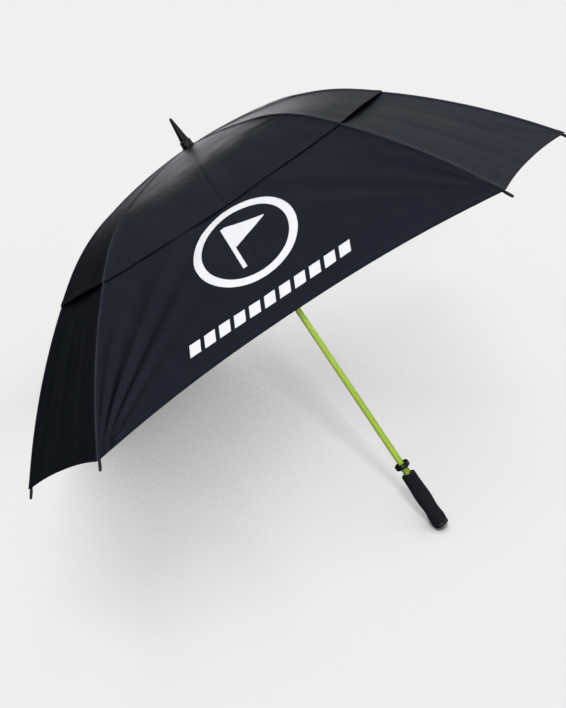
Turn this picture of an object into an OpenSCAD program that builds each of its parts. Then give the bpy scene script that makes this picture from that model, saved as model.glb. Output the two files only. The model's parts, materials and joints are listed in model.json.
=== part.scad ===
// Vented golf umbrella with an eight rib folding frame, opened.
// +Z runs along the shaft towards the ferrule, the origin is the centre of the butt face. Millimetres.

/* [Shaft and handle] */
// Outside diameter of the tubular shaft
shaft_d = 13; // [12:0.5:14]
// Wall thickness of the shaft tube
shaft_wall = 1; // [0.8:0.1:1.4]
// Height of the top of the foam grip above the butt face
grip_top = 133; // [128:1:136]
// Largest diameter of the grip, at its flared butt
grip_d = 34.6; // [32:0.2:36]
// Diameter of the hard cap that closes the butt
cap_d = 33; // [30:0.5:33]
// Outside diameter of the release collar
collar_d = 32; // [28:1:34]
// Height of the release collar's lower face above the butt face
collar_z = 149; // [147:0.5:151]
// Height of the release collar
collar_h = 10.5; // [9:0.5:12]

/* [Frame] */
// Height of the rib pivots above the butt face
pivot_z = 936; // [932:1:938]
// Radius of the pivot circle on the top notch and on the runner
pivot_r = 18; // [17:0.5:19]
// Half angle of a wide canopy panel
wide_half = 35.5; // [33:0.5:37]
// Radius at which the rib starts its shoulder
shoulder_r = 240; // [220:5:250]
// Radius of the joint between the inner and the outer rib
knee_r = 385; // [375:1:390]
// Radius of the rib's end
rim_r = 690; // [680:5:700]
// Slope of the rib at its pivot
slope_0 = 1.5; // [1:0.5:2]
// Slope of the rib where the shoulder starts
slope_1 = 10; // [9:0.5:11]
// Slope of the rib at the joint
slope_2 = 31.5; // [31:0.5:32]
// Slope of the rib at its end
slope_3 = 48.5; // [47:0.5:50]
// Distance of the stretcher's pin below the rib
stretcher_drop = 9; // [9:0.5:10]
// Diameter of the inner rib rod
rib_d = 3.2; // [3:0.1:3.4]
// Diameter of the outer rib rod
tip_rod_d = 2.8; // [2.4:0.1:3]
// Diameter of the stretcher rod
stretcher_d = 3; // [2.8:0.1:3.2]

/* [Canopy] */
// Radius along a rib at which the lower canopy starts
lower_in_r = 327; // [310:5:340]
// Radius along a rib at which the upper canopy ends
upper_out_r = 431; // [420:1:440]
// Height of the lower canopy above the rib's centre line
lower_off = 3.6; // [3.5:0.1:3.7]
// Height of the upper canopy above the rib's centre line
upper_off = 5; // [4.9:0.1:5.4]
// Thickness of each canopy layer
cloth = 0.8; // [0.6:0.1:0.9]
// How far the rim of a wide panel is cut in at its middle
scallop_wide = 22; // [15:1:30]
// How far the rim of a narrow panel is cut in at its middle
scallop_narrow = 7; // [4:1:10]
// How far a wide panel dips at its middle
dip_wide = 7; // [0:1:8]

/* [Ferrule] */
// Height of the top of the ferrule above the butt face
ferrule_top = 1009; // [1003:1:1015]
// Diameter of the ferrule at its base
ferrule_d = 17.4; // [16:0.2:18]
// Diameter of the ferrule at its tip
ferrule_tip_d = 6; // [5:0.5:7]

/* [Hidden] */
$fn = 64;

run = 0.08;  // radial clearance of moving parts
fit = 0.02;  // radial clearance of fixed parts
shaft_r = shaft_d / 2;
narrow_half = 45 - wide_half;

// Ribs count anticlockwise from the front right one. A wide panel faces each of -Y, +X, +Y and -X.
function is_odd(i) = i % 2 == 1;
function rib_angle(i) = -90 + wide_half + 90 * floor((i - 1) / 2) + (is_odd(i) ? 0 : 2 * narrow_half);
// Half angles of the panels next to rib i, on its anticlockwise and its clockwise side
function half_after(i) = is_odd(i) ? narrow_half : wide_half;
function half_before(i) = is_odd(i) ? wide_half : narrow_half;

// ---- rib curve, as [x, z] points of the XZ plane; slopes fall outwards
function normal(slope) = [sin(slope), cos(slope)];
function along(slope) = [cos(slope), -sin(slope)];
function arc_angle(length, radius) = length / radius * 180 / PI;

// Three tangent arcs. Each has its centre on the previous arc's end normal.
arc1_r = (shoulder_r - pivot_r) / (sin(slope_1) - sin(slope_0));
arc2_r = (knee_r - shoulder_r) / (sin(slope_2) - sin(slope_1));
arc3_r = (rim_r - knee_r) / (sin(slope_3) - sin(slope_2));
pivot = [pivot_r, pivot_z];
arc1_centre = pivot - arc1_r * normal(slope_0);
arc2_centre = arc1_centre + (arc1_r - arc2_r) * normal(slope_1);
arc3_centre = arc2_centre + (arc2_r - arc3_r) * normal(slope_2);
knee = arc2_centre + arc2_r * normal(slope_2);
rim = arc3_centre + arc3_r * normal(slope_3);

// The stretcher is as long as the line from the rib's pivot to its pin, so the runner's pivot
// stays on the pivot circle while it slides.
pin = knee - stretcher_drop * normal(slope_2);
runner_z = 2 * pin[1] - pivot_z;
runner_pivot = [pivot_r, runner_z];
stretcher_length = norm(pin - pivot);
stretcher_slope = atan2(pivot_z - pin[1], pin[0] - pivot_r);

function arc_radius(r) = r < shoulder_r ? arc1_r : r < knee_r ? arc2_r : arc3_r;
function arc_centre(r) = r < shoulder_r ? arc1_centre : r < knee_r ? arc2_centre : arc3_centre;
// A point at radius r along the rib and a height above its centre line, along its normal
function above_rib(r, height) =
    let (slope = asin((r - arc_centre(r)[0]) / arc_radius(r)))
    arc_centre(r) + (arc_radius(r) + height) * normal(slope);
function turned(point, angle) = [point[0] * cos(angle), point[0] * sin(angle), point[1]];

// ---- shaft and handle
shaft_bottom = 14;
shaft_top = 957.4;
bore_bottom = 13;
bore_top = 939;
spigot_r = 3.5;   // spigot that carries the ferrule
spigot_z = 956;
spigot_h = 23;
grip_bottom = 10; // top of the butt cap's rim
cap_plug_top = 32;
cap_round = 3;
spring_gap = 0.1;
spring_turns = 4;
spring_wire_r = 0.7;

module shaft() color([0.60, 0.76, 0.24]) difference() {
    union() {
        translate([0, 0, shaft_bottom]) cylinder(r = shaft_r, h = shaft_top - shaft_bottom);
        translate([0, 0, spigot_z]) cylinder(r = spigot_r, h = spigot_h);
    }
    translate([0, 0, bore_bottom]) cylinder(r = shaft_r - shaft_wall, h = bore_top - bore_bottom);
    // window of the open catch
    translate([3, -1.5, runner_z - 44]) cube([5, 3, 22]);
}

// Foam sleeve: a shoulder, a waist and a flared butt, with rounded ends.
// t runs from 0 at the top to 1 at the bottom.
function ease(x) = let (c = min(1, max(0, x))) c * c * (3 - 2 * c);
function grip_radius(t) = grip_d / 2 - 1.7
    - (t < 0.03 ? 2.4 * (1 - sqrt(1 - pow(1 - t / 0.03, 2))) : 0)
    + 1.5 * ease((t - 0.16) / 0.30)
    - 1.6 * ease((t - 0.50) / 0.24)
    + 1.8 * ease((t - 0.76) / 0.15)
    - (t > 0.93 ? 0.9 * (1 - sqrt(max(0, 1 - pow((t - 0.93) / 0.07, 2)))) : 0);
grip_stations = concat([0, 0.004, 0.012, 0.022], [for (k = [1:29]) k / 30 * 0.98],
    [0.965, 0.98, 0.99, 1]);
module grip() color([0.05, 0.05, 0.055]) rotate_extrude() polygon(concat(
    [[shaft_r + fit, grip_top]],
    [for (t = grip_stations) [grip_radius(t), grip_top - (grip_top - grip_bottom) * t]],
    [[shaft_r + fit, grip_bottom]]));

// Rounded cap with a plug that enters the shaft
module butt_cap() color([0.04, 0.04, 0.045]) {
    cap_r = cap_d / 2;
    plug_r = shaft_r - shaft_wall - 0.05;
    rotate_extrude() polygon(concat(
        [[0, 0], [cap_r - cap_round, 0]],
        [for (k = [1:6]) [cap_r - cap_round + cap_round * sin(k * 15), cap_round - cap_round * cos(k * 15)]],
        [[cap_r, grip_bottom], [plug_r, grip_bottom], [plug_r, cap_plug_top], [0, cap_plug_top]]));
}

// Cup shaped collar that is pulled down to release the runner
module release_collar() color([0.03, 0.03, 0.035]) {
    outer_r = collar_d / 2;
    inner_r = shaft_r + run;
    sleeve_top = collar_h - 1.5;
    translate([0, 0, collar_z]) rotate_extrude() polygon([
        [inner_r, 0], [outer_r - 1.6, 0], [outer_r - 0.4, 0.7], [outer_r, 1.8],
        [outer_r, collar_h - 0.8], [outer_r - 0.8, collar_h], [outer_r - 2, collar_h],
        [outer_r - 2.3, 4.4], [outer_r - 3.6, 3.2], [9.6, 3], [8.8, 3.8],
        [8.8, sleeve_top], [inner_r, sleeve_top]]);
}

module collar_spring() color([0.42, 0.50, 0.16])
    translate([0, 0, grip_top + spring_gap])
        linear_extrude(height = collar_z - grip_top - 2 * spring_gap, twist = -360 * spring_turns, slices = 64)
            translate([shaft_r + 1.2, 0]) circle(r = spring_wire_r, $fn = 8);

// ---- ferrule
ferrule_z = 957.6;
ferrule_collar_h = 15;
ferrule_collar_z = shaft_top - ferrule_collar_h;
flute_count = 14;

// Tapered spike with a domed tip and a flange at its base
module ferrule() color([0.04, 0.04, 0.045]) difference() {
    base_r = ferrule_d / 2;
    tip_r = ferrule_tip_d / 2;
    rotate_extrude() polygon(concat(
        [[0, ferrule_z], [base_r + 0.6, ferrule_z], [base_r + 0.6, 960], [base_r, 961.2]],
        [for (k = [0:6]) [tip_r * cos(k * 15) + 0.001, ferrule_top - tip_r + tip_r * sin(k * 15)]],
        [[0, ferrule_top]]));
    translate([0, 0, 950]) cylinder(r = spigot_r + fit, h = 30);
}

// Flanged collar, fluted around its side
module ferrule_collar() color([0.05, 0.05, 0.055]) difference() {
    translate([0, 0, ferrule_collar_z]) rotate_extrude() polygon([
        [shaft_r + fit, 0], [14, 0], [14, 1.4], [12.2, 2.8], [12, 12.8],
        [10.4, ferrule_collar_h], [shaft_r + fit, ferrule_collar_h]]);
    for (k = [0:flute_count - 1]) rotate([0, 0, 360 / flute_count * k])
        translate([12.7, 0, ferrule_collar_z + 3.4]) cylinder(r = 1, h = 20, $fn = 16);
}

// ---- notch and runner: a disc with one slot for each rib or stretcher, tied by a ring of wire
hub_r = pivot_r + 4;
hub_below = 3.4;  // depth of each disc below its pivots
slot_w = 2.7;
wire_r = 0.6;
wire_way_r = 0.72;
runner_barrel_r = 10.2;

module slots(z, up, down) for (i = [1:8]) rotate([0, 0, rib_angle(i)])
    translate([13.6, -slot_w / 2, z - down]) cube([12, slot_w, up + down]);
module wire_ring(z, radius) translate([0, 0, z])
    rotate_extrude() translate([pivot_r, 0]) circle(r = radius, $fn = 20);

module top_notch() color([0.06, 0.06, 0.07]) difference() {
    union() {
        translate([0, 0, pivot_z - hub_below]) cylinder(r = hub_r, h = 5.8);
        translate([0, 0, pivot_z - 24]) cylinder(r = 9.5, h = 22);
    }
    translate([0, 0, pivot_z - 30]) cylinder(r = shaft_r + fit, h = 40);
    slots(pivot_z, up = 8, down = 8);
    wire_ring(pivot_z, wire_way_r);
}
module notch_wire() color([0.7, 0.7, 0.72]) wire_ring(pivot_z, wire_r);

module runner() color([0.05, 0.05, 0.055]) difference() {
    union() {
        translate([0, 0, runner_z - hub_below]) cylinder(r = hub_r, h = 2 * hub_below);
        translate([0, 0, runner_z - 21.5]) rotate_extrude() polygon([
            [5, 0], [12, 0], [12, 1.6], [runner_barrel_r, 3.4], [runner_barrel_r, 20], [5, 20]]);
        translate([0, 0, runner_z]) cylinder(r = runner_barrel_r, h = 8);
    }
    translate([0, 0, runner_z - 30]) cylinder(r = shaft_r + run, h = 50);
    slots(runner_z, up = 10, down = 8);
    wire_ring(runner_z, wire_way_r);
}
module runner_wire() color([0.7, 0.7, 0.72]) wire_ring(runner_z, wire_r);

// Wedge that springs out under the runner and is pressed in to close
catch_t = 2.4;
module open_catch() color([0.75, 0.75, 0.78])
    translate([0, catch_t / 2, runner_z]) rotate([90, 0, 0]) linear_extrude(height = catch_t)
        polygon([[1, -43.5], [6.2, -43.5], [9, -25], [9, -22.4], [1, -22.4]]);

// ---- ribs and stretchers
tongue_t = 2.1;     // flattened rod ends
eye_r = 2.4;
wire_hole_r = wire_r + run;
pin_r = 1;
cheek_t = 1.2;      // the fork's two cheeks
cheek_y = 1.9;
pin_length = 2 * cheek_y + cheek_t;
fork_length = 9.4;
fork_w = 4;
hole_length = 6;    // longer than any tongue is thick
end_length = 10;    // flat ends of a stretcher
end_w = 2.8;
rod_start = 8.6;    // from a stretcher's pivot to its round rod

// An arc of rod in the XZ plane, between two slopes
module arc_rod(centre, radius, from, to, d)
    translate([centre[0], 0, centre[1]]) rotate([90, 0, 0]) rotate([0, 0, 90 - to])
        rotate_extrude(angle = to - from, $fn = 180) translate([radius, 0]) circle(d = d, $fn = 24);
// A disc with its axis along Y, centred on a point of the XZ plane
module disc(point, r, t)
    translate([point[0], t / 2, point[1]]) rotate([90, 0, 0]) cylinder(r = r, h = t);
// A flat bar that starts at a point of the XZ plane and runs down a slope
module blade(point, slope, length, w, t)
    translate([point[0], 0, point[1]]) rotate([0, slope, 0])
        translate([0, -t / 2, -w / 2]) cube([length, t, w]);

module rib_inner(i) color([0.09, 0.09, 0.10]) rotate([0, 0, rib_angle(i)]) difference() {
    fork_start = knee - fork_length * along(slope_2);
    union() {
        disc(pivot, eye_r, tongue_t);
        blade(pivot, slope_0, 9.5, 3, tongue_t);
        arc_rod(arc1_centre, arc1_r, slope_0 + arc_angle(8.5, arc1_r), slope_1, rib_d);
        arc_rod(arc2_centre, arc2_r, slope_1, slope_2 - arc_angle(9, arc2_r), rib_d);
        // forked end: two cheeks that carry the outer rib's pin and the stretcher's pin
        for (side = [-1, 1]) translate([0, side * cheek_y, 0]) {
            disc(knee, 2.2, cheek_t);
            disc(pin, 2.9, cheek_t);
            blade(knee, slope_2 + 90, stretcher_drop, 5.2, cheek_t);
            blade(fork_start, slope_2, fork_length, fork_w, cheek_t);
        }
        blade(fork_start, slope_2, 4.6, fork_w, fork_w);
        disc(knee, pin_r, pin_length);
        disc(pin, pin_r, pin_length);
    }
    disc(pivot, wire_hole_r, hole_length);
}

module rib_outer(i) color([0.10, 0.10, 0.11]) rotate([0, 0, rib_angle(i)]) difference() {
    union() {
        disc(knee, eye_r, tongue_t);
        blade(knee, slope_2, 6, 2.6, tongue_t);
        arc_rod(arc3_centre, arc3_r, slope_2 + arc_angle(4, arc3_r), slope_3, tip_rod_d);
    }
    disc(knee, pin_r + run, hole_length);
}

// Cap on the rib's end, drawn with +Z pointing outwards along the rib
module rib_tip(i) color([0.05, 0.05, 0.055]) rotate([0, 0, rib_angle(i)])
    translate([rim[0], 0, rim[1]]) rotate([0, 90 + slope_3, 0]) difference() {
        rotate_extrude($fn = 40) polygon([
            [0, -9], [2.2, -9], [2.4, -2], [2.8, -0.6], [2.75, 6], [2.45, 13.4], [1.8, 14.5], [0, 14.8]]);
        translate([0, 0, -20]) cylinder(d = tip_rod_d + 0.3, h = 20.4);
    }

module stretcher(i) color([0.09, 0.09, 0.10]) rotate([0, 0, rib_angle(i)]) difference() {
    union() {
        disc(pin, 2.6, tongue_t);
        disc(runner_pivot, eye_r, tongue_t);
        // +X points from the pin to the runner
        translate([pin[0], 0, pin[1]]) rotate([0, 180 - stretcher_slope, 0]) {
            for (x = [0, stretcher_length - end_length])
                translate([x, -tongue_t / 2, -end_w / 2]) cube([end_length, tongue_t, end_w]);
            translate([rod_start, 0, 0]) rotate([0, 90, 0])
                cylinder(d = stretcher_d, h = stretcher_length - 2 * rod_start);
        }
    }
    disc(pin, pin_r + run, hole_length);
    disc(runner_pivot, wire_hole_r, hole_length);
}

// ---- canopy
// A section belongs to one rib and reaches almost to the middle of the panel on each side of it.
// u runs from -1 (middle of the panel before the rib) over 0 (the rib) to 1 (middle of the one after).
// v runs from 0 (inner edge) to 1 (rim). Stations in u are closer together on the wide side.
stations_odd = [-0.9985, -0.75, -0.5, -0.25, 0, 0.5, 0.996];
stations_even = [-0.996, -0.5, 0, 0.25, 0.5, 0.75, 0.9985];
dip_start_r = 60;
dip_span = 600;
dip_narrow = dip_wide * 0.2;

function bow(u) = 1 - (1 - abs(u)) * (1 - abs(u));
function rim_cut(u) = 1 - pow(1 - abs(u), 2.3);
function cloth_point(i, u, v, in_r, out_r, cut_wide, cut_narrow, height) =
    let (half = u < 0 ? half_before(i) : half_after(i),
         wide = half > 20,
         r = in_r + v * (out_r - (wide ? cut_wide : cut_narrow) * rim_cut(u) - in_r),
         point = above_rib(r, height),
         near = turned(point, rib_angle(i)),
         far = turned(point, rib_angle(i) + (u < 0 ? -2 : 2) * half),
         far_share = abs(u) / 2,
         dip = (wide ? dip_wide : dip_narrow) * bow(u)
             * sin(180 * min(1, max(0, (r - dip_start_r) / dip_span))))
    near * (1 - far_share) + far * far_share - [0, 0, dip];
// Two triangles that share the diagonal from a to c
function quad(a, b, c, d) = [[a, b, c], [a, c, d]];

module cloth_section(i, in_r, out_r, rows, cut_wide, cut_narrow, height) {
    stations = is_odd(i) ? stations_odd : stations_even;
    last = len(stations) - 1;
    // point numbers on the under and the upper side, at station j and row k
    function under(j, k) = j * (rows + 1) + k;
    function upper(j, k) = (last + 1) * (rows + 1) + under(j, k);
    points = [for (side = [height, height + cloth]) for (u = stations) for (k = [0:rows])
        cloth_point(i, u, k / rows, in_r, out_r, cut_wide, cut_narrow, side)];
    faces = concat(
        [for (j = [0:last - 1]) for (k = [0:rows - 1])
            each quad(under(j, k), under(j + 1, k), under(j + 1, k + 1), under(j, k + 1))],
        [for (j = [0:last - 1]) for (k = [0:rows - 1])
            each quad(upper(j, k), upper(j, k + 1), upper(j + 1, k + 1), upper(j + 1, k))],
        // inner edge and rim
        [for (j = [0:last - 1])
            each quad(under(j, 0), upper(j, 0), upper(j + 1, 0), under(j + 1, 0))],
        [for (j = [0:last - 1])
            each quad(under(j, rows), under(j + 1, rows), upper(j + 1, rows), upper(j, rows))],
        // edges at the first and the last station
        [for (k = [0:rows - 1])
            each quad(under(0, k), under(0, k + 1), upper(0, k + 1), upper(0, k))],
        [for (k = [0:rows - 1])
            each quad(under(last, k), upper(last, k), upper(last, k + 1), under(last, k + 1))]);
    polyhedron(points = points, faces = faces, convexity = 6);
}

module canopy_upper(i) color([0.14, 0.15, 0.18])
    cloth_section(i, 13.5, upper_out_r, rows = 14, cut_wide = 0, cut_narrow = 0, height = upper_off);
module canopy_lower(i) color([0.11, 0.12, 0.15])
    cloth_section(i, lower_in_r, rim_r - 1, rows = 12,
        cut_wide = scallop_wide, cut_narrow = scallop_narrow, height = lower_off);

shaft();
grip();
butt_cap();
ferrule();
ferrule_collar();
top_notch();
notch_wire();
runner();
runner_wire();
open_catch();
release_collar();
collar_spring();
for (i = [1:8]) {
    rib_inner(i);
    rib_outer(i);
    rib_tip(i);
    stretcher(i);
    canopy_upper(i);
    canopy_lower(i);
}
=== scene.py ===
import math
import json

import bpy
import numpy as np
from mathutils import Matrix, Vector

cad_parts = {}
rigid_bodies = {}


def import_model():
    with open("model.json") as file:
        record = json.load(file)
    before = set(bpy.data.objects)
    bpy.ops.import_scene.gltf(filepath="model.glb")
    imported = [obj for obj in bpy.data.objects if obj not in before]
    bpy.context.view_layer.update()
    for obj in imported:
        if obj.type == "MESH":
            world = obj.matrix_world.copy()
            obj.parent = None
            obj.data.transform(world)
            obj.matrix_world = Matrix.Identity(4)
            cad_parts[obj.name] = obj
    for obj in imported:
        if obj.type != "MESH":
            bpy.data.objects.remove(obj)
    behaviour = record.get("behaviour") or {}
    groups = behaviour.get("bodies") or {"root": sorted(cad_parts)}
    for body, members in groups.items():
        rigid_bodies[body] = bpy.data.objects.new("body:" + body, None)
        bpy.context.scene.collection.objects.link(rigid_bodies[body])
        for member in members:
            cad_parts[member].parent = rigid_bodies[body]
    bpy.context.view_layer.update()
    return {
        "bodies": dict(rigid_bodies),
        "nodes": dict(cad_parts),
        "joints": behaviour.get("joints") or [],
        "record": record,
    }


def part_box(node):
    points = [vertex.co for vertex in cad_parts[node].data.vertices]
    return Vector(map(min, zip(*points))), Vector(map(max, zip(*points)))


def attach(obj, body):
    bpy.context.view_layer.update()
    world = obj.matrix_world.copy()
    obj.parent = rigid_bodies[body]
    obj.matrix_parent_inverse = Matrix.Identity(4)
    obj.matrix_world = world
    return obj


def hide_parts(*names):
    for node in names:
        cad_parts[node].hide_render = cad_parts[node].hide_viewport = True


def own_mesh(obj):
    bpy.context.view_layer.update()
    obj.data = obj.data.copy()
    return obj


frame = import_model()
RECORD = frame["record"]
JOINTS = {j["name"]: j for j in frame["joints"]}
NODES = frame["nodes"]


def sind(a):
    return np.sin(np.radians(a))


def cosd(a):
    return np.cos(np.radians(a))


# ------------------------------------------------------------------ the rib curve, as in the CAD
def flat_point(p):
    """(distance from the shaft's axis, height) of a point of the record."""
    return np.array([math.hypot(p[0], p[1]), p[2]])


PIVOT = flat_point(JOINTS["canopy_fold"]["pos_m"])
KNEE = flat_point(JOINTS["rib_1_flex"]["pos_m"])
FOLD_DEG = JOINTS["canopy_fold"]["range_deg"][1]
FLEX_DEG = JOINTS["rib_1_flex"]["range_deg"][0]
for c in RECORD["behaviour"]["couplings"]:
    if c["joint"] == "rib_1_flex":
        FLEX_DEG = c["ratio"] * FOLD_DEG
AZ = {}
for i in range(1, 9):
    p = JOINTS["canopy_fold" if i == 1 else f"rib_{i}_fold"]["pos_m"]
    AZ[i] = math.degrees(math.atan2(p[1], p[0])) % 360
SLOPES = (1.5, 10.0, 31.5, 48.5)
SHOULDER_R, RIM_R = 0.240, 0.690
VENT_R, INNER_R, CROWN_R = 0.431, 0.327, 0.0125
R1 = (SHOULDER_R - PIVOT[0]) / (sind(SLOPES[1]) - sind(SLOPES[0]))
R2 = (KNEE[0] - SHOULDER_R) / (sind(SLOPES[2]) - sind(SLOPES[1]))
R3 = (RIM_R - KNEE[0]) / (sind(SLOPES[3]) - sind(SLOPES[2]))
C1 = PIVOT - R1 * np.array([sind(SLOPES[0]), cosd(SLOPES[0])])
C2 = C1 + (R1 - R2) * np.array([sind(SLOPES[1]), cosd(SLOPES[1])])
C3 = C2 + (R2 - R3) * np.array([sind(SLOPES[2]), cosd(SLOPES[2])])


def rib_arc(r):
    r = np.asarray(r, float)
    rad = np.where(r < SHOULDER_R, R1, np.where(r < KNEE[0], R2, R3))
    cx = np.where(r < SHOULDER_R, C1[0], np.where(r < KNEE[0], C2[0], C3[0]))
    cz = np.where(r < SHOULDER_R, C1[1], np.where(r < KNEE[0], C2[1], C3[1]))
    return rad, cx, cz


def rib_slope(r):
    rad, cx, _ = rib_arc(r)
    return np.arcsin(np.clip((np.asarray(r, float) - cx) / rad, -1, 1))


def over(r, d):
    """A point at distance d above the rib's centre line."""
    rad, cx, cz = rib_arc(r)
    a = rib_slope(r)
    return cx + (rad + d) * np.sin(a), cz + (rad + d) * np.cos(a)


def rib_length(r):
    """Length along the rib from its pivot; points inside the pivot's radius count back along a straight line."""
    r = np.asarray(r, float)
    a = rib_slope(r)
    a0, a1, a2 = np.radians(SLOPES[:3])
    s = R1 * (a - a0)
    s = np.where(r >= SHOULDER_R, R1 * (a1 - a0) + R2 * (a - a1), s)
    return np.where(r >= KNEE[0], R1 * (a1 - a0) + R2 * (a2 - a1) + R3 * (a - a2), s)


def turn(x, z, c, deg):
    """Turns points of a rib's plane about c; a positive angle lowers the rib's end."""
    dx, dz = x - c[0], z - c[1]
    return c[0] + dx * cosd(deg) + dz * sind(deg), c[1] - dx * sind(deg) + dz * cosd(deg)


KNEE_FOLDED = np.array(turn(KNEE[0], KNEE[1], PIVOT, FOLD_DEG))


def folded(r, d):
    """The same point of a rib when the umbrella is closed."""
    x, z = over(r, d)
    fx, fz = turn(x, z, PIVOT, FOLD_DEG)
    gx, gz = turn(fx, fz, KNEE_FOLDED, FLEX_DEG)
    out = np.asarray(r, float) >= KNEE[0]
    return np.where(out, gx, fx), np.where(out, gz, fz)


# ------------------------------------------------------------------ panels of the canopy
def half_of(g):
    """Half angle of the panel between rib g and the next one, in degrees."""
    return ((AZ[g % 8 + 1] - AZ[g]) % 360) / 2


def smooth(x):
    x = np.clip(x, 0, 1)
    return x * x * (3 - 2 * x)


# Fan folds that start at a rib's end: (panel, side of the panel the rib is on, angle from the rib in degrees, width in degrees, length in metres, height in metres)
FANS = []


def hash01(*k):
    v = math.sin(sum((j + 1) * 12.9898 * x for j, x in enumerate(k)) + 4.1414) * 43758.5453
    return v - math.floor(v)


for g in range(1, 9):
    wide = half_of(g) > 20
    for side in (-1, 1):
        if wide:
            strong = 1.15 if (g == 8 and side == -1) else 0.5 + 0.3 * hash01(g, side)
            for k, (ang, wid, ln, h) in enumerate(((9, 3.0, 0.24, 2.0), (16, 3.0, 0.28, -2.8), (23, 3.0, 0.30, 3.2), (31, 3.2, 0.30, -3.4), (39, 3.4, 0.27, 3.0), (48, 3.8, 0.22, -2.4), (58, 4.4, 0.15, 1.5))):
                j = hash01(g, side, k)
                FANS.append((g, side, ang + 4 * (j - 0.5), wid, ln * (0.8 + 0.4 * j), h * 1e-3 * strong))
        else:
            for k, (ang, wid, ln, h) in enumerate(((15, 4.0, 0.10, 0.7), (32, 4.5, 0.09, -0.7))):
                j = hash01(g, side, k)
                FANS.append((g, side, ang + 6 * (j - 0.5), wid, ln * (0.8 + 0.4 * j), h * 1e-3))


def panel_grid(g, layer, cols, rows_fn):
    """Points of one whole panel. cols gives, for each column, a function of the half width; rows_fn gives radii along the rib for a column's xi.
    Returns positions, and the cloth's own coordinates."""
    h = half_of(g)
    wide = h > 20
    a0, a1 = math.radians(AZ[g]), math.radians(AZ[g % 8 + 1])
    n0 = np.array([math.cos(a0), math.sin(a0)])
    n1 = np.array([math.cos(a1), math.sin(a1)])
    upper = layer == "upper"
    off = 0.0054 if upper else 0.0038
    r_in = CROWN_R if upper else INNER_R
    r_out = VENT_R if upper else RIM_R - 0.001
    # rows: fractions of the length, with close rows at each hem
    length = r_out - r_in
    rows = rows_fn(length)
    nv = len(rows)
    xi = cols  # (n columns, n rows) in -1..1
    nu = xi.shape[0]
    au = 1 - np.abs(xi)  # 0 at a rib, 1 in the middle
    if upper:
        cut = 0.0
        cut_in = 0.0
        arc = np.zeros_like(au)
    else:
        cut = 0.022 if wide else 0.007
        arc = 1 - (1 - au) ** 2.3
    r = r_in + rows[None, :] * (r_out - cut * arc - r_in)
    x, z = over(r, off)
    w = (xi + 1) / 2
    px = x * (n0[0] * (1 - w) + n1[0] * w)
    py = x * (n0[1] * (1 - w) + n1[1] * w)
    pz = z.copy()
    # the cloth dips between the ribs; the cap dips less at its free edge, which opens the vent
    bow = 1 - (1 - au) ** 2
    base = 0.007 if wide else 0.0014
    along = np.sin(np.pi * np.clip((r - 0.06) / 0.6, 0, 1))
    dip = base * bow * along
    if upper:
        lift = smooth((r - 0.25) / (VENT_R - 0.25))
        dip = dip * (1 + (0.06 if wide else 0.0) * lift) - (0.0 if wide else 0.0035) * bow * lift
    elif not wide:
        dip = dip + 0.0065 * bow * (1 - smooth((r - 0.385) / 0.11))
    pz = pz - dip
    P = np.stack([px, py, pz], -1)
    # panel coordinates, in metres: across from the middle, and down from the crown
    half_w = x * math.sin(math.radians(h))
    X = xi * half_w
    S = rib_length(r)
    # normals of the smooth sheet
    du = np.gradient(P, axis=0)
    dv = np.gradient(P, axis=1)
    N = np.cross(dv, du)
    N /= np.maximum(np.linalg.norm(N, axis=-1, keepdims=True), 1e-12)
    N *= np.where(N[..., 2:3] < 0, -1, 1)
    edge = (1 - rows[None, :]) * (r_out - cut * arc - r_in) * np.ones_like(xi)
    inner_edge = rows[None, :] * length * np.ones_like(xi)
    seam = au * half_w
    crease = (1 - au) * half_w
    D = np.zeros_like(xi)
    # seam of the panel along the rib: a felled ridge
    D += (0.0012 * np.exp(-((seam / 0.0036) ** 2)) + 0.0003 * (1 - smooth((seam - 0.0030) / 0.0012))) * smooth(r / 0.03)
    # hem
    D += 0.00045 * (1 - smooth((edge - 0.0085) / 0.0012))
    if not upper:
        D += 0.00045 * (1 - smooth((inner_edge - 0.0085) / 0.0012))
    # the fold in the middle of the panel
    fade = smooth((r - 0.03) / 0.08)
    D += (-0.0005 * np.exp(-((crease / 0.0035) ** 2)) + 0.0006 * np.exp(-((crease / 0.016) ** 2))) * fade * (1.0 if wide else 0.0)
    # slack near the ribs and in the field, never at the rib itself
    # the cap's free edge lies on the skirt and takes the same waves
    env = smooth(seam / 0.045) * (1.0 if upper else smooth(edge / 0.02))
    k = g * 1.7
    amp = 0.0011 if wide else 0.0004
    D += amp * env * (
        np.sin(X * 21 + S * 9 + k) * np.sin(S * 14 - X * 5 + 2 * k)
        + 0.55 * np.sin(X * 43 - S * 17 + 1.3 * k) * np.sin(S * 29 + X * 11 + k)
        + 0.25 * np.sin(X * 88 + S * 31 + 0.7 * k) * np.sin(S * 61 - X * 23 + k)
    )
    if not wide:
        # long soft folds along the ribs
        D += 0.00038 * env * smooth((r - 0.39) / 0.10) * (np.sin(9 * X / half_w + 1.3 * g) + 0.5 * np.sin(21 * X / half_w + 2.1 * g + 3 * S))
    # short pulls that leave the seam: they come from the stitching
    pull = np.exp(-seam / 0.030) * smooth(seam / 0.006) * smooth((r - 0.05) / 0.1)
    D += (0.0009 if wide else 0.0003) * pull * np.sin((S + 0.55 * seam) * 150 + 3 * np.sin(S * 37 + k)) * (0.5 + 0.5 * np.sin(S * 23 + k))
    # fans at the rib ends
    if not upper:
        s_end = rib_length(RIM_R)
        for fg, side, ang, wid, ln, hgt in FANS:
            if fg != g:
                continue
            near = np.abs(X - side * half_w) if side < 0 else np.abs(half_w - X)
            near = (X + half_w) if side < 0 else (half_w - X)
            up = (s_end - S) + 0.004
            rho = np.hypot(near, up)
            phi = np.degrees(np.arctan2(near, up))
            band = np.exp(-(((phi - ang) / wid) ** 2))
            D += hgt * band * smooth(rho / 0.05) * np.exp(-((rho / ln) ** 2))
    else:
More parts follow.
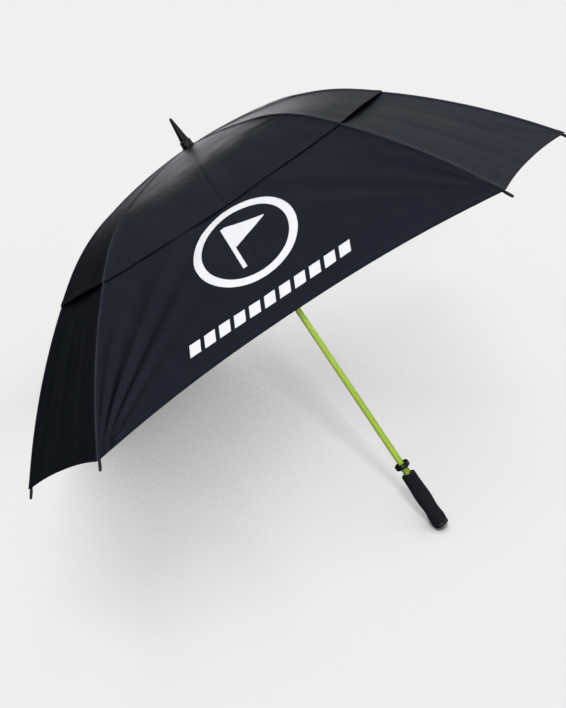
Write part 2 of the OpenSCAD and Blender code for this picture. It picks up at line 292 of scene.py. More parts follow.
        # where the cap is sewn to the ribs near the vent, small puckers
        near_edge = np.exp(-((edge / 0.05) ** 2))
        D += 0.0006 * near_edge * np.exp(-seam / 0.05) * smooth(seam / 0.01) * (0.5 + 0.5 * np.sin(seam * 210 + k))
    P = P + N * D[..., None]
    return dict(P=P, X=X, S=S, r=r, au=au, seam=seam, edge=edge, inner=inner_edge, half_w=half_w, h=h, wide=wide)


def half_columns(n, half_w_row):
    """Column positions from a rib (0) to the middle of the panel (1), closer together at the seam and at the fold."""
    out = []
    for hw in half_w_row:
        m = [0.0, 0.0016, 0.0030, 0.0042, 0.0065]
        e = [0.0065, 0.0030, 0.0012, 0.0]
        scale = min(1.0, hw / 0.05)
        a = [v * scale / hw for v in m]
        b = [1 - v * scale / hw for v in e]
        mid = np.linspace(a[-1], b[0], n + 2)[1:-1]
        out.append(a + list(mid) + b)
    return np.array(out).T  # columns, rows


def fractions(n, length, hem_in, hem_out):
    f = []
    if hem_in:
        f += [0, 0.0012, 0.0075, 0.0090, 0.0105]
    else:
        f += [0, 0.004]
    tail = [length - 0.0105, length - 0.0090, length - 0.0075, length - 0.0012, length] if hem_out else [length]
    mid = np.linspace(f[-1], tail[0], n + 2)[1:-1]
    return np.array(list(f) + list(mid) + tail) / length


# ------------------------------------------------------------------ the canopy rolled round the closed ribs
T_CLOTH = 0.00045


def rib_frame(i, outer):
    """The matrix of rib i's inner or outer body when closed."""
    a = math.radians(AZ[i])
    axis = Vector((-math.sin(a), math.cos(a), 0))
    o = Vector((PIVOT[0] * math.cos(a), PIVOT[0] * math.sin(a), PIVOT[1]))
    k = Vector((KNEE[0] * math.cos(a), KNEE[0] * math.sin(a), KNEE[1]))
    m = Matrix.Translation(o) @ Matrix.Rotation(math.radians(FOLD_DEG), 4, axis) @ Matrix.Translation(-o)
    if outer:
        m = m @ Matrix.Translation(k) @ Matrix.Rotation(math.radians(FLEX_DEG), 4, axis) @ Matrix.Translation(-k)
    return np.array(m, float)


def rolled(i, after, u, r, layer):
    """Where a point of rib i's section lies when the umbrella is closed. u is 0 at the rib and 1 in the middle of the panel."""
    upper = layer == "upper"
    g = i if after else (i - 2) % 8 + 1
    h = half_of(g)
    gap = math.radians(2 * h)
    d = 0.0042 if upper else 0.0030
    rs = np.linspace(0.009, RIM_R, 900)
    tx, tz = folded(rs, d)
    ox, oz = over(rs, 0.0050)
    w = smooth((rs - 0.015) / 0.012)
    tx, tz = ox * (1 - w) + tx * w, oz * (1 - w) + tz * w
    # the bundle's radius is eased, so that the cloth bridges the joint between the ribs
    ss = rib_length(rs)
    a = rib_slope(r)
    x, _ = over(r, 0.003)
    W = x * math.sin(math.radians(h))
    k = np.cos(a) * math.sin(math.radians(h))
    rise = u * W * k
    H = W * np.sqrt(1 - k * k)
    s = np.maximum(rib_length(r) - rise, ss[0])
    R0 = np.interp(s, ss, tx)
    Z0 = np.interp(s, ss, tz)
    L = np.maximum(H - gap * R0 / 2, 0.28 * H)
    # ribs passed on the way round, counted from rib i
    def counted(first, psi):
        total, steps = 0.0, [0.0]
        for q in range(24):
            total += math.radians(2 * half_of((first - 1 + q) % 8 + 1))
            steps.append(total)
        return np.interp(psi, steps, np.arange(25))
    nxt = g % 8 + 1
    end = L / R0
    for _ in range(3):
        mean = R0 + 2 * T_CLOTH * (counted(nxt, end))
        end = L / mean
    if after:
        psi = u * (gap + end)
        rho = R0 + 4 * T_CLOTH * counted(i, psi) + (0.0 if upper else -1.0) * T_CLOTH * smooth(u / 0.1)
        close = (-1.5 if upper else -0.5) * T_CLOTH
    else:
        psi = u * end
        rho = R0 + 4 * T_CLOTH * counted(i, psi) + (1.0 if upper else 2.0) * T_CLOTH * smooth(psi * R0 / 0.004)
        close = (1.5 if upper else 0.5) * T_CLOTH
    rho = rho + close * smooth((u - 0.93) / 0.07)
    # a little looseness, so that the roll isn't a lathe shape
    rho = rho * (1 + 0.012 * np.sin(3 * (psi + math.radians(AZ[i])) + Z0 * 9) * smooth((rib_length(r) - 0.1) / 0.2))
    th = math.radians(AZ[i]) + psi
    return np.stack([rho * np.cos(th), rho * np.sin(th), Z0], -1)


def add_driver(key, i):
    fc = key.driver_add("value")
    drv = fc.driver
    drv.type = "SCRIPTED"
    v = drv.variables.new()
    v.name = "v"
    v.type = "ROTATION_DIFF"
    v.targets[0].id = frame["bodies"]["root"]
    v.targets[1].id = frame["bodies"][f"rib_inner_{i}"]
    drv.expression = f"v / {math.radians(FOLD_DEG):.6f}"


def make_petal(i, layer, material):
    """One section of the canopy: half of the panel before rib i and half of the panel after it."""
    upper = layer == "upper"
    n_wide, n_narrow, n_rows = (36, 10, 46) if upper else (92, 18, 60)
    r_in = CROWN_R if upper else INNER_R
    r_out = VENT_R if upper else RIM_R - 0.001
    f = fractions(n_rows, r_out - r_in, not upper, True)
    rr = r_in + f * (r_out - r_in)
    xs, _ = over(rr, 0.004)
    parts = []
    before = (i - 2) % 8 + 1
    for g, after in ((before, False), (i, True)):
        h = half_of(g)
        n = n_wide if h > 20 else n_narrow
        cu = half_columns(n, xs * math.sin(math.radians(h)))  # 0 rib .. 1 middle
        full = np.concatenate([cu - 1, (1 - cu)[::-1][1:]], 0)  # whole panel, -1..1
        grid = panel_grid(g, layer, full, lambda length: f)
        m = cu.shape[0]
        if after:
            sl = slice(0, m)  # from rib (xi=-1) to the middle
        else:
            sl = slice(m - 1, 2 * m - 1)  # from the middle to rib (xi=+1)
        part = {k: (v[sl] if isinstance(v, np.ndarray) else v) for k, v in grid.items()}
        part["u"] = part["au"]
        part["fold"] = rolled(i, after, part["au"], part["r"], layer)
        part["g"] = g
        parts.append(part)
    a, b = parts
    def join(k):
        return np.concatenate([a[k][:-1], b[k]], 0)
    P, F = join("P"), join("fold")
    nu, nv = P.shape[:2]
    M = np.linalg.inv(rib_frame(i, not upper))
    Fh = F.reshape(-1, 3) @ M[:3, :3].T + M[:3, 3]
    name = f"canopy_{'cap' if upper else 'skirt'}_{i}"
    mesh = bpy.data.meshes.new(name)
    idx = np.arange(nu * nv).reshape(nu, nv)
    quads = np.stack([idx[:-1, :-1], idx[:-1, 1:], idx[1:, 1:], idx[1:, :-1]], -1).reshape(-1, 4)
    mesh.from_pydata(P.reshape(-1, 3).tolist(), [], quads.tolist())
    mesh.polygons.foreach_set("use_smooth", [True] * len(mesh.polygons))
    X, S, seam, edge, inner = (join(k).ravel() for k in ("X", "S", "seam", "edge", "inner"))
    gid = np.concatenate([np.full(a["P"].shape[:2], a["g"])[:-1], np.full(b["P"].shape[:2], b["g"])], 0).ravel()
    # cloth coordinates run with each panel's middle, and swing round at the rib as cut cloth does
    attr = mesh.attributes.new("cloth", "FLOAT_VECTOR", "POINT")
    attr.data.foreach_set("vector", np.stack([X, S, gid * 0.13], -1).astype(np.float32).ravel())
    attr = mesh.attributes.new("mark", "FLOAT_VECTOR", "POINT")
    on = (gid == 8) & (seam > 0.02) & (not upper)
    attr.data.foreach_set("vector", np.stack([np.where(on, X, 9), np.where(on, S, 9), np.zeros(len(X))], -1).astype(np.float32).ravel())
    for nm, val in (("seam", seam), ("edge", edge if upper else np.minimum(edge, inner)), ("fromcrown", S)):
        at = mesh.attributes.new(nm, "FLOAT", "POINT")
        at.data.foreach_set("value", np.clip(val, -1, 2).astype(np.float32))
    mesh.materials.append(material)
    mesh.update()
    faces_at = np.zeros(len(mesh.loops), int)
    mesh.loops.foreach_get("edge_index", faces_at)
    mesh.edges.foreach_set("use_edge_sharp", (np.bincount(faces_at, minlength=len(mesh.edges)) == 1).tolist())
    obj = bpy.data.objects.new(name, mesh)
    bpy.context.scene.collection.objects.link(obj)
    # upward normals
    mesh.update()
    if mesh.polygons[len(mesh.polygons) // 2].normal.z < 0:
        mesh.flip_normals()
    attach(obj, f"rib_inner_{i}" if upper else f"rib_outer_{i}")
    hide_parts(f"canopy_upper_{i}" if upper else f"canopy_lower_{i}")
    obj.shape_key_add(name="Basis")
    key = obj.shape_key_add(name="rolled", from_mix=False)
    key.data.foreach_set("co", Fh.astype(np.float32).ravel())
    key.value = 0
    add_driver(key, i)
    sol = obj.modifiers.new("thickness", "SOLIDIFY")
    sol.thickness = 0.0004
    sol.offset = -1
    sol.use_rim = True
    return obj


# ------------------------------------------------------------------ material tools
class Net:
    """Short calls to build a node tree."""

    def __init__(self, name):
        self.mat = bpy.data.materials.new(name)
        self.mat.use_nodes = True
        self.t = self.mat.node_tree
        self.bsdf = next(n for n in self.t.nodes if n.type == "BSDF_PRINCIPLED")
        self.out = next(n for n in self.t.nodes if n.type == "OUTPUT_MATERIAL")

    def node(self, kind, **kw):
        n = self.t.nodes.new(kind)
        for k, v in kw.items():
            setattr(n, k, v)
        return n

    def put(self, sock, v):
        if isinstance(v, bpy.types.NodeSocket):
            self.t.links.new(v, sock)
        elif isinstance(v, (tuple, list)) and len(v) == 3 and sock.type == "RGBA":
            sock.default_value = (*v, 1)
        else:
            sock.default_value = v

    def math(self, op, a, b=None, c=None, clamp=False):
        n = self.node("ShaderNodeMath", operation=op, use_clamp=clamp)
        for k, v in enumerate((a, b, c)):
            if v is not None:
                self.put(n.inputs[k], v)
        return n.outputs[0]

    def attr(self, name, out="Fac"):
        n = self.node("ShaderNodeAttribute", attribute_name=name)
        return n.outputs[out]

    def split(self, v):
        n = self.node("ShaderNodeSeparateXYZ")
        self.put(n.inputs[0], v)
        return n.outputs

    def combine(self, x, y, z):
        n = self.node("ShaderNodeCombineXYZ")
        for k, v in enumerate((x, y, z)):
            self.put(n.inputs[k], v)
        return n.outputs[0]

    def noise(self, vec, scale, detail=3.0, rough=0.5, kind="ShaderNodeTexNoise"):
        n = self.node(kind)
        self.put(n.inputs["Vector"], vec)
        n.inputs["Scale"].default_value = scale
        if "Detail" in n.inputs:
            n.inputs["Detail"].default_value = detail
        if "Roughness" in n.inputs:
            n.inputs["Roughness"].default_value = rough
        return n.outputs[0]

    def ramp(self, v, lo, hi, a=0.0, b=1.0):
        n = self.node("ShaderNodeMapRange")
        n.interpolation_type = "SMOOTHSTEP"
        for k, x in zip(("Value", "From Min", "From Max", "To Min", "To Max"), (v, lo, hi, a, b)):
            self.put(n.inputs[k], x)
        return n.outputs[0]

    def mix(self, f, a, b):
        n = self.node("ShaderNodeMix", data_type="RGBA")
        self.put(n.inputs["Factor"], f)
        self.put(n.inputs[6], a)
        self.put(n.inputs[7], b)
        return n.outputs[2]

    def bump(self, height, dist, strength=1.0, normal=None):
        n = self.node("ShaderNodeBump")
        n.inputs["Strength"].default_value = strength
        n.inputs["Distance"].default_value = dist
        self.put(n.inputs["Height"], height)
        if normal is not None:
            self.put(n.inputs["Normal"], normal)
        return n.outputs[0]

    def set(self, **kw):
        for k, v in kw.items():
            self.put(self.bsdf.inputs[k.replace("_", " ")], v)
        return self.mat


def canopy_material(name, base, cap):
    m = Net(name)
    c = m.attr("cloth", "Vector")
    x, y, z = m.split(c)
    seam, edge, down = m.attr("seam"), m.attr("edge"), m.attr("fromcrown")
    # plain weave: warp and weft threads
    pitch = 0.0011
    wx = m.math("SINE", m.math("MULTIPLY", x, 2 * math.pi / pitch))
    wy = m.math("SINE", m.math("MULTIPLY", y, 2 * math.pi / pitch))
    weave = m.math("MULTIPLY", wx, wy)
    threads = m.math("ADD", m.math("MULTIPLY", wx, 0.5), m.math("MULTIPLY", wy, 0.5))
    # yarn irregularity: long streaks along each thread direction
    sx = m.noise(m.combine(m.math("MULTIPLY", x, 900), m.math("MULTIPLY", y, 12), z), 1.0, 2)
    sy = m.noise(m.combine(m.math("MULTIPLY", x, 12), m.math("MULTIPLY", y, 900), z), 1.0, 2)
    streak = m.math("ADD", sx, sy)
    cloudy = m.noise(c, 7.0, 4)
    fine = m.noise(c, 160.0, 3)
    tone = m.math("ADD", m.math("MULTIPLY", m.math("SUBTRACT", streak, 1.0), 0.30), m.math("MULTIPLY", m.math("SUBTRACT", cloudy, 0.5), 0.35))
    tone = m.math("ADD", tone, m.math("MULTIPLY", weave, 0.08))
    tone = m.math("ADD", 1.0, tone)
    dark = m.node("ShaderNodeVectorMath", operation="SCALE")
    m.put(dark.inputs[0], base)
    m.put(dark.inputs["Scale"], tone)
    col = dark.outputs[0]
    # hem and seam: two layers of cloth, a row of stitches
    hem = m.math("SUBTRACT", 1.0, m.ramp(edge, 0.0078, 0.0092))
    lap = m.math("SUBTRACT", 1.0, m.ramp(seam, 0.0026, 0.0040))
    doubled = m.math("MAXIMUM", hem, lap)
    col = m.mix(m.math("MULTIPLY", doubled, 0.45), col, tuple(v * 0.42 for v in base))
    # painted highlight: the seam's ridge over the rib is painted paler, as if light caught it
    col = m.mix(m.math("MULTIPLY", m.math("SUBTRACT", 1.0, m.ramp(seam, 0.0010, 0.0032)), 0.55), col, (0.030, 0.032, 0.040))
    groove_h = m.math("SUBTRACT", 1.0, m.ramp(m.math("ABSOLUTE", m.math("SUBTRACT", edge, 0.0068)), 0.0003, 0.0009))
    groove_s = m.math("SUBTRACT", 1.0, m.ramp(m.math("ABSOLUTE", m.math("SUBTRACT", seam, 0.0018)), 0.0003, 0.0009))
    dash_x = m.math("GREATER_THAN", m.math("FRACT", m.math("MULTIPLY", x, 1 / 0.0030)), 0.35)
    dash_y = m.math("GREATER_THAN", m.math("FRACT", m.math("MULTIPLY", y, 1 / 0.0030)), 0.35)
    stitch = m.math("MAXIMUM", m.math("MULTIPLY", groove_h, dash_x), m.math("MULTIPLY", groove_s, dash_y))
    col = m.mix(m.math("MULTIPLY", stitch, 0.8), col, tuple(min(1, v * 2.4 + 0.002) for v in base))
    # paler in patches along the ribs: partly rubbing wear, partly a painted highlight on the seam ridge
    rub_and_seam_highlight = m.math("MULTIPLY", m.math("SUBTRACT", 1.0, m.ramp(seam, 0.0005, 0.006)), m.ramp(m.noise(c, 60, 3), 0.45, 0.75))
    col = m.mix(m.math("MULTIPLY", rub_and_seam_highlight, 0.14), col, (0.06, 0.064, 0.075))
    rough = m.math("ADD", 0.41, m.math("MULTIPLY", m.math("SUBTRACT", cloudy, 0.5), 0.18))
    if not cap:
        # a plain printed mark on the front panel: a ring round a pennant, and a bar below it
        mk = m.attr("mark", "Vector")
        px, py, _ = m.split(mk)
        cx, cy = 0.0, 0.545
        dx = m.math("SUBTRACT", px, cx)
        dy = m.math("SUBTRACT", py, cy)
        dist = m.math("SQRT", m.math("ADD", m.math("MULTIPLY", dx, dx), m.math("MULTIPLY", dy, dy)))

        def inside(v, lo, hi, soft=0.0006):
            return m.math("MULTIPLY", m.ramp(v, lo - soft, lo + soft), m.math("SUBTRACT", 1.0, m.ramp(v, hi - soft, hi + soft)))

        ring = inside(dist, 0.083, 0.099)
        pole = m.math("MULTIPLY", inside(dx, -0.027, -0.019), inside(dy, -0.060, 0.056))
        # pennant: a triangle that points away from the pole
        t = m.math("MULTIPLY", m.math("SUBTRACT", dx, -0.019), 0.42)
        tri = m.math("MULTIPLY", inside(dx, -0.0195, 0.052), m.math("SUBTRACT", 1.0, m.ramp(m.math("ABSOLUTE", m.math("ADD", dy, 0.030)), m.math("SUBTRACT", 0.0300, t), m.math("SUBTRACT", 0.0312, t))))
        slant = m.math("ADD", dx, m.math("MULTIPLY", dy, 0.35))
        cell = m.math("FRACT", m.math("MULTIPLY", m.math("ADD", slant, 1.0), 1 / 0.030))
        dash = m.math("MULTIPLY", m.ramp(cell, 0.12, 0.16), m.math("SUBTRACT", 1.0, m.ramp(cell, 0.84, 0.88)))
        bar = m.math("MULTIPLY", m.math("MULTIPLY", inside(slant, -0.130, 0.2), inside(dy, 0.136, 0.160)), dash)
        mark = m.math("MAXIMUM", m.math("MAXIMUM", ring, pole), m.math("MAXIMUM", tri, bar))
        ink = m.mix(m.math("MULTIPLY", fine, 0.25), (0.59, 0.59, 0.62), (0.55, 0.55, 0.58))
        col = m.mix(mark, col, ink)
    else:
        mark = None
    m.put(m.bsdf.inputs["Base Color"], col)
    m.put(m.bsdf.inputs["Roughness"], rough)
    m.set(Specular_IOR_Level=0.60)
    m.put(m.bsdf.inputs["Specular Tint"], (0.64, 0.72, 1.0))
    n1 = m.bump(m.math("ADD", weave, m.math("MULTIPLY", threads, 0.5)), 0.00005, 0.7)
    wr = m.noise(c, 26.0, 4, 0.55)
    n2 = m.bump(wr, 0.0022, 0.55, n1)
    n3 = m.bump(m.math("SUBTRACT", 0.0, m.math("MAXIMUM", m.math("MULTIPLY", groove_h, 0.7), m.math("MULTIPLY", groove_s, 0.7))), 0.0005, 0.8, n2)
    m.put(m.bsdf.inputs["Normal"], n3)
    return m.mat


def solid_material(name, base, rough, kind):
    m = Net(name)
    co = m.node("ShaderNodeTexCoord").outputs["Object"]
    x, y, z = m.split(co)
    if kind == "foam":
        cells = m.node("ShaderNodeTexVoronoi")
        m.put(cells.inputs["Vector"], co)
        cells.inputs["Scale"].default_value = 1500
        big = m.noise(co, 60, 4)
        grain = m.noise(co, 900, 4, 0.6)
        col = m.mix(m.math("MULTIPLY", big, 0.5), base, tuple(v * 1.7 + 0.002 for v in base))
        worn = m.ramp(m.noise(co, 25, 3), 0.5, 0.75)
        col = m.mix(m.math("MULTIPLY", worn, 0.25), col, tuple(v * 2.4 + 0.004 for v in base))
        m.put(m.bsdf.inputs["Base Color"], col)
        m.put(m.bsdf.inputs["Roughness"], m.math("ADD", rough - 0.08, m.math("MULTIPLY", grain, 0.16)))
        n = m.bump(grain, 0.00035, 0.7)
        n = m.bump(cells.outputs[0], 0.0002, 0.5, n)
        n = m.bump(big, 0.0010, 0.25, n)
        m.put(m.bsdf.inputs["Normal"], n)
        m.set(Specular_IOR_Level=0.16, Sheen_Weight=0.03, Sheen_Roughness=0.5)
    elif kind == "paint":
        peel = m.noise(co, 420, 3)
        flecks = m.noise(co, 2600, 2)
        streaks = m.noise(m.combine(m.math("MULTIPLY", x, 500), m.math("MULTIPLY", y, 500), m.math("MULTIPLY", z, 6)), 1.0, 3)
        col = m.mix(m.math("MULTIPLY", streaks, 0.5), base, tuple(v * 0.93 for v in base))
        col = m.mix(m.math("MULTIPLY", m.ramp(flecks, 0.6, 0.8), 0.12), col, tuple(min(1, v * 1.5 + 0.05) for v in base))
        m.put(m.bsdf.inputs["Base Color"], col)
        m.put(m.bsdf.inputs["Roughness"], m.math("ADD", rough, m.math("MULTIPLY", streaks, 0.12)))
        m.put(m.bsdf.inputs["Normal"], m.bump(peel, 0.00012, 0.35))
        m.set(Metallic=0.0, Coat_Weight=0.25, Coat_Roughness=0.18)
    elif kind == "steel":
        brush = m.noise(m.combine(m.math("MULTIPLY", x, 300), m.math("MULTIPLY", y, 300), m.math("MULTIPLY", z, 3000)), 1.0, 3)
        col = m.mix(m.math("MULTIPLY", brush, 0.6), base, tuple(v * 0.6 for v in base))
        m.put(m.bsdf.inputs["Base Color"], col)
        m.put(m.bsdf.inputs["Roughness"], m.math("ADD", rough, m.math("MULTIPLY", brush, 0.2)))
        m.put(m.bsdf.inputs["Normal"], m.bump(brush, 0.0001, 0.3))
        m.set(Metallic=1.0)
    elif kind == "rod":
        fibres = m.noise(m.combine(m.math("MULTIPLY", x, 260), m.math("MULTIPLY", y, 260), m.math("MULTIPLY", z, 260)), 1.0, 5, 0.7)
        fleck = m.noise(co, 1400, 2)
        col = m.mix(fibres, base, tuple(v * 1.8 + 0.004 for v in base))
        col = m.mix(m.math("MULTIPLY", m.ramp(fleck, 0.62, 0.8), 0.2), col, (0.10, 0.10, 0.10))
        m.put(m.bsdf.inputs["Base Color"], col)
        m.put(m.bsdf.inputs["Roughness"], m.math("ADD", rough, m.math("MULTIPLY", fibres, 0.15)))
        m.put(m.bsdf.inputs["Normal"], m.bump(fleck, 0.0001, 0.4))
    else:
        mould = m.noise(co, 700, 3)
        smear = m.noise(co, 35, 4)
        col = m.mix(m.math("MULTIPLY", smear, 0.5), base, tuple(v * 1.6 + 0.001 for v in base))
        m.put(m.bsdf.inputs["Base Color"], col)
        m.put(m.bsdf.inputs["Roughness"], m.math("ADD", rough, m.math("MULTIPLY", m.math("SUBTRACT", smear, 0.5), 0.14)))
        m.put(m.bsdf.inputs["Normal"], m.bump(mould, 0.00010 if kind == "gloss" else 0.00025, 0.35))
        if kind == "gloss":
            m.set(Coat_Weight=0.3, Coat_Roughness=0.10, Specular_IOR_Level=0.28)
    return m.mat


MATS = {
    "lime_shaft": solid_material("m_lime_paint", (0.56, 0.84, 0.085), 0.30, "paint"),
    "lime_spring": solid_material("m_lime_spring", (0.06, 0.09, 0.008), 0.35, "paint"),
    "foam_grip": solid_material("m_foam", (0.0065, 0.0065, 0.0095), 0.80, "foam"),
    "black_plastic": solid_material("m_nylon", (0.0055, 0.0055, 0.007), 0.36, "plastic"),
    "gloss_black": solid_material("m_gloss", (0.002, 0.002, 0.0025), 0.16, "gloss"),
    "fibreglass": solid_material("m_rod", (0.016, 0.016, 0.018), 0.40, "rod"),
    "steel": solid_material("m_steel", (0.55, 0.55, 0.57), 0.28, "steel"),
}
CAP_MAT = canopy_material("m_canopy_cap", (0.0010, 0.0013, 0.0030), True)
SKIRT_MAT = canopy_material("m_canopy_skirt", (0.0008, 0.0011, 0.0026), False)

SLOT = {s["node"]: s["material_slot"] for s in RECORD["subparts"]}
for name, o in NODES.items():
    mat = MATS.get(SLOT.get(name))
    if mat is None:
        continue
    if not o.material_slots:
        o.data.materials.append(mat)
    for s in o.material_slots:
        s.material = mat
    weld = o.modifiers.new("weld", "WELD")
    weld.merge_threshold = 2e-6
    o.data.polygons.foreach_set("use_smooth", [True] * len(o.data.polygons))

for i in range(1, 9):
    make_petal(i, "upper", CAP_MAT)
    make_petal(i, "lower", SKIRT_MAT)

# the collar's return spring: a coil of round wire
def make_spring():
    lo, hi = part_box("collar_spring")
    wire = 0.0007
    mean = (hi[0] - lo[0]) / 2 - wire
    z0, z1 = lo[2] + wire, hi[2] - wire
    turns, per, ring = 4, 40, 10
    verts, faces = [], []
    steps = turns * per
    for k in range(steps + 1):
        f = k / steps
        a = 2 * math.pi * turns * f
        # the first and last half turn lie flat, as a ground spring's do
        rise = min(1.0, max(0.0, (f * turns - 0.4) / (turns - 0.8)))
        c, sn = math.cos(a), math.sin(a)
        for q in range(ring):
            b = 2 * math.pi * q / ring
            rho = mean + wire * math.cos(b)
            verts.append((rho * c, rho * sn, z0 + (z1 - z0) * rise + wire * math.sin(b)))
    for k in range(steps):
        for q in range(ring):
            a, b = k * ring + q, k * ring + (q + 1) % ring
            faces.append((a, b, b + ring, a + ring))
    faces.append(tuple(range(ring))[::-1])
    faces.append(tuple(steps * ring + q for q in range(ring)))
    mesh = bpy.data.meshes.new("spring_coil")
    mesh.from_pydata(verts, [], faces)
    mesh.update()
    mesh.polygons.foreach_set("use_smooth", [True] * len(mesh.polygons))
    mesh.materials.append(MATS["lime_spring"])
    obj = bpy.data.objects.new("spring_coil", mesh)
    bpy.context.scene.collection.objects.link(obj)
    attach(obj, "root")
    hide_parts("collar_spring")
    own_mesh(obj)


make_spring()

# ------------------------------------------------------------------ floor, light, camera
CAM_R = np.array([[0.8318971284318902, -0.052955709624905783, -0.5523973755593865], [-0.5527825397201463, -0.166564965269682, -0.8165093852034124], [-0.04877121576627047, 0.9846074370848681, -0.16783790796434406]])
CAM_T = np.array([0.3331745853688642, 0.3574864390366789, 3.0084189772138594])
CAM_F = 1434.0
cam_pos = -CAM_R.T @ CAM_T
cd = bpy.data.cameras.new("camera")
cam = bpy.data.objects.new("camera", cd)
bpy.context.scene.collection.objects.link(cam)
m = np.eye(4)
m[:3, 0] = CAM_R[0]
m[:3, 1] = -CAM_R[1]
m[:3, 2] = -CAM_R[2]
m[:3, 3] = cam_pos
cam.matrix_world = Matrix(m.tolist())
cd.sensor_width = 36
cd.lens = CAM_F * 36 / 708
cd.clip_start, cd.clip_end = 0.05, 100
bpy.context.scene.camera = cam

BACK = 0.8715
# the umbrella rests on the rib tips of the narrow panel at the back left, and on the edge of its butt
def points_of(*names):
    return np.concatenate([np.array([(NODES[n].matrix_world @ v.co)[:] for v in NODES[n].data.vertices]) for n in names])


out_dir = np.array([math.cos(math.radians(135)), math.sin(math.radians(135)), 0.0])
TIPS, BUTT = points_of("rib_tip_5", "rib_tip_6"), points_of("butt_cap", "grip")
lo_a, hi_a = 20.0, 70.0
for _ in range(40):
    mid_a = (lo_a + hi_a) / 2
    nn = -out_dir * sind(mid_a) + np.array([0, 0, 1.0]) * cosd(mid_a)
    if (TIPS @ nn).min() > (BUTT @ nn).min():
        lo_a = mid_a
    else:
        hi_a = mid_a
UP = nn
FLOOR_AT = min((TIPS @ nn).min(), (BUTT @ nn).min())
normal = Vector(UP.tolist())
along = Vector((out_dir * cosd(mid_a) + np.array([0, 0, 1.0]) * sind(mid_a)).tolist())
side = normal.cross(along)
fm = bpy.data.meshes.new("floor")
n = 24
size = 9.0
centre = normal * FLOOR_AT + along * 0.45
vs, fs = [], []
for a in range(n + 1):
    for b in range(n + 1):
        vs.append(centre + along * (a / n - 0.5) * 2 * size + side * (b / n - 0.5) * 2 * size)
for a in range(n):
    for b in range(n):
        q = a * (n + 1) + b
        fs.append((q, q + 1, q + n + 2, q + n + 1))
fm.from_pydata([tuple(v) for v in vs], [], fs)
fm.update()
if fm.polygons[0].normal.dot(normal) < 0:
    fm.flip_normals()
floor = bpy.data.objects.new("floor", fm)
bpy.context.scene.collection.objects.link(floor)
# The paper's glow and its answer to the lights add up to the photo's pale grey where nothing shades it.
SKY, SKY_LOW, SKY_HIGH = 0.50, -0.44, 0.06
TOP, TOP_DIR = 1.6, np.array([-0.07, -0.605, -0.79])
KEY, STREAK, KEY_DIR = 1.2, 6.0, np.array([-0.133, -0.482, -0.866])
FILL, FILL_DIR = 1.5, np.array([0.0, 0.0, -1.0])
TOP_DIR, KEY_DIR = TOP_DIR / np.linalg.norm(TOP_DIR), KEY_DIR / np.linalg.norm(KEY_DIR)
SKY_AXIS = UP + 0.9 * CAM_R[0]
th, ph = np.meshgrid((np.arange(90) + 0.5) * math.pi / 180, (np.arange(180) + 0.5) * math.pi / 90, indexing="ij")
e1 = np.cross(UP, [1.0, 0, 0])
e1 /= np.linalg.norm(e1)
e2 = np.cross(UP, e1)
dirs = UP * np.cos(th)[..., None] + (e1 * np.cos(ph)[..., None] + e2 * np.sin(ph)[..., None]) * np.sin(th)[..., None]
sky_of = 0.006 + (SKY - 0.006) * smooth(((dirs @ SKY_AXIS) - SKY_LOW) / (SKY_HIGH - SKY_LOW))
E_SKY = float((sky_of * np.cos(th) * np.sin(th)).sum() * (math.pi / 180) * (math.pi / 90))
E_KEY = STREAK * float((CAM_R.T @ KEY_DIR) @ UP) + TOP * float((CAM_R.T @ TOP_DIR) @ UP) + FILL * float((CAM_R.T @ FILL_DIR) @ UP)
FLOOR_ALBEDO = 0.14
GLOW = BACK - FLOOR_ALBEDO * (E_SKY + E_KEY) / math.pi
net = Net("m_floor")
net.set(Roughness=0.9, Specular_IOR_Level=0.0)
seen = net.node("ShaderNodeLightPath").outputs["Is Camera Ray"]
depth = net.node("ShaderNodeVectorMath", operation="DOT_PRODUCT")
net.put(depth.inputs[0], net.node("ShaderNodeNewGeometry").outputs["Position"])
depth.inputs[1].default_value = tuple(float(v) for v in CAM_R[2])
across = net.node("ShaderNodeVectorMath", operation="DOT_PRODUCT")
net.put(across.inputs[0], net.node("ShaderNodeNewGeometry").outputs["Position"])
across.inputs[1].default_value = tuple(float(v) for v in CAM_R[2] + 1.2 * CAM_R[0])
# painted reflection and bounce light: to rays other than the camera's the paper is dark near by and pale further away,
# which sets what the cloth sees mirrored and how much light comes up to it
painted_mirror_tone = net.math("ADD", 0.03, net.math("MULTIPLY", net.ramp(depth.outputs["Value"], 0.5, 1.4, 0.0, 0.82), net.ramp(across.outputs["Value"], 0.3, 1.6)))
paper = net.node("ShaderNodeMapRange")
net.put(paper.inputs["Value"], seen)
net.put(paper.inputs["To Min"], painted_mirror_tone)
net.put(paper.inputs["To Max"], FLOOR_ALBEDO)
net.put(net.bsdf.inputs["Base Color"], net.combine(paper.outputs[0], paper.outputs[0], paper.outputs[0]))
net.bsdf.inputs["Emission Color"].default_value = (1, 1, 1, 1)
# painted shadow: the paper's glow is darkened by ambient occlusion where the cloth is close above it, standing in for
# the wide room light it keeps off
near = net.node("ShaderNodeAmbientOcclusion")
near.inputs["Distance"].default_value = 0.70
near.samples = 8
glow_under_painted_shadow = net.math("MULTIPLY", GLOW, net.math("SUBTRACT", 1.0, net.math("MULTIPLY", net.ramp(net.math("SUBTRACT", 1.0, near.outputs["AO"]), 0.08, 0.64), 0.98)))
net.put(net.bsdf.inputs["Emission Strength"], net.math("MULTIPLY", seen, glow_under_painted_shadow))
geo = net.node("ShaderNodeNewGeometry")
clear = net.node("ShaderNodeBsdfTransparent")
mixer = net.node("ShaderNodeMixShader")
net.t.links.new(geo.outputs["Backfacing"], mixer.inputs[0])
net.t.links.new(net.bsdf.outputs[0], mixer.inputs[1])
net.t.links.new(clear.outputs[0], mixer.inputs[2])
net.t.links.new(mixer.outputs[0], net.out.inputs["Surface"])
fm.materials.append(net.mat)

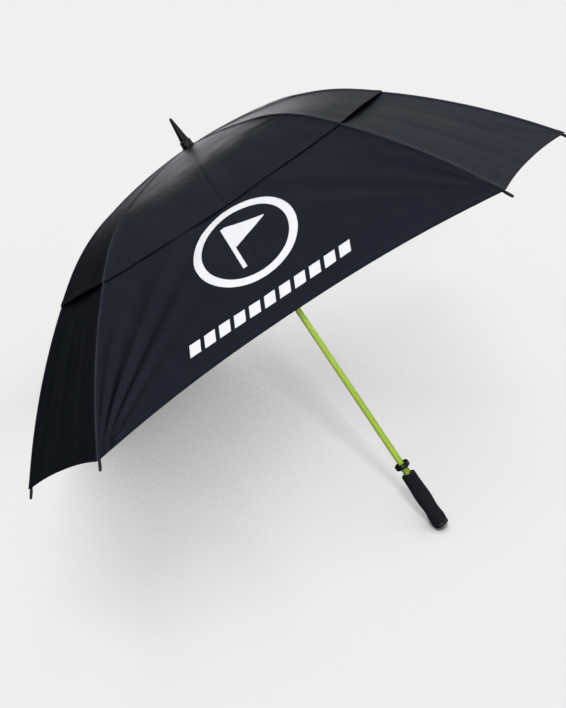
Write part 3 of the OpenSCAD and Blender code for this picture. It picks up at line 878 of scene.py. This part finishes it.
world = bpy.data.worlds.new("world")
bpy.context.scene.world = world
world.use_nodes = True
wt = world.node_tree
bg = next(x for x in wt.nodes if x.type == "BACKGROUND")
wo = next(x for x in wt.nodes if x.type == "OUTPUT_WORLD")
bg2 = wt.nodes.new("ShaderNodeBackground")
lp = wt.nodes.new("ShaderNodeLightPath")
mx = wt.nodes.new("ShaderNodeMixShader")
tc = wt.nodes.new("ShaderNodeTexCoord")


def wdot(vec):
    n = wt.nodes.new("ShaderNodeVectorMath")
    n.operation = "DOT_PRODUCT"
    wt.links.new(tc.outputs["Generated"], n.inputs[0])
    n.inputs[1].default_value = tuple(float(v) for v in vec)
    return n.outputs["Value"]


sky = wt.nodes.new("ShaderNodeMapRange")
sky.interpolation_type = "SMOOTHSTEP"
wt.links.new(wdot(SKY_AXIS), sky.inputs["Value"])
for k, v in (("From Min", SKY_LOW), ("From Max", SKY_HIGH), ("To Min", 0.006), ("To Max", SKY)):
    sky.inputs[k].default_value = v
bg.inputs[0].default_value = (1, 1, 1, 1)
wt.links.new(sky.outputs[0], bg.inputs[1])
bg2.inputs[0].default_value = (BACK, BACK, BACK, 1)
bg2.inputs[1].default_value = 1.0
wt.links.new(lp.outputs["Is Camera Ray"], mx.inputs[0])
wt.links.new(bg.outputs[0], mx.inputs[1])
wt.links.new(bg2.outputs[0], mx.inputs[2])
wt.links.new(mx.outputs[0], wo.inputs["Surface"])


def sun(name, from_cam, strength, angle):
    """A soft light from a direction given in the camera's axes: right, down, forward."""
    d = Vector((CAM_R.T @ np.array(from_cam, float)).tolist()).normalized()
    ld = bpy.data.lights.new(name, "SUN")
    ld.energy = strength
    ld.angle = math.radians(angle)
    lo = bpy.data.objects.new(name, ld)
    bpy.context.scene.collection.objects.link(lo)
    lo.rotation_mode = "QUATERNION"
    lo.rotation_quaternion = d.to_track_quat("Z", "Y")
    lo.location = d * 5
    return lo


# One lamp lights the umbrella, and its twin lights the floor: the floor shows the handle's shadow of it only,
# because the canopy's shadow comes from the wide lamp above.
key = sun("key", KEY_DIR, KEY, 12)
streak = sun("streak", KEY_DIR, STREAK, 8)
stick, paper_only, rest = (bpy.data.collections.new(nm) for nm in ("stick", "paper_only", "rest"))
for nm in ("shaft", "grip", "butt_cap", "release_collar"):
    stick.objects.link(NODES[nm])
paper_only.objects.link(floor)
for o in bpy.context.scene.objects:
    if o.type == "MESH" and o is not floor:
        rest.objects.link(o)
key.light_linking.receiver_collection = rest
streak.light_linking.receiver_collection = paper_only
streak.light_linking.blocker_collection = stick
key.visible_glossy = streak.visible_glossy = False
top = sun("top", TOP_DIR, TOP, 24)
top.visible_glossy = False
fill = sun("fill", FILL_DIR, FILL, 6)
fill.visible_glossy = False
glint = sun("glint", (-0.01, 0.03, -1.0), 0.45, 9)
glint.visible_diffuse = False

sc = bpy.context.scene
sc.view_settings.view_transform = "Standard"
sc.view_settings.look = "None"
sc.view_settings.exposure = 0
sc.view_settings.gamma = 1
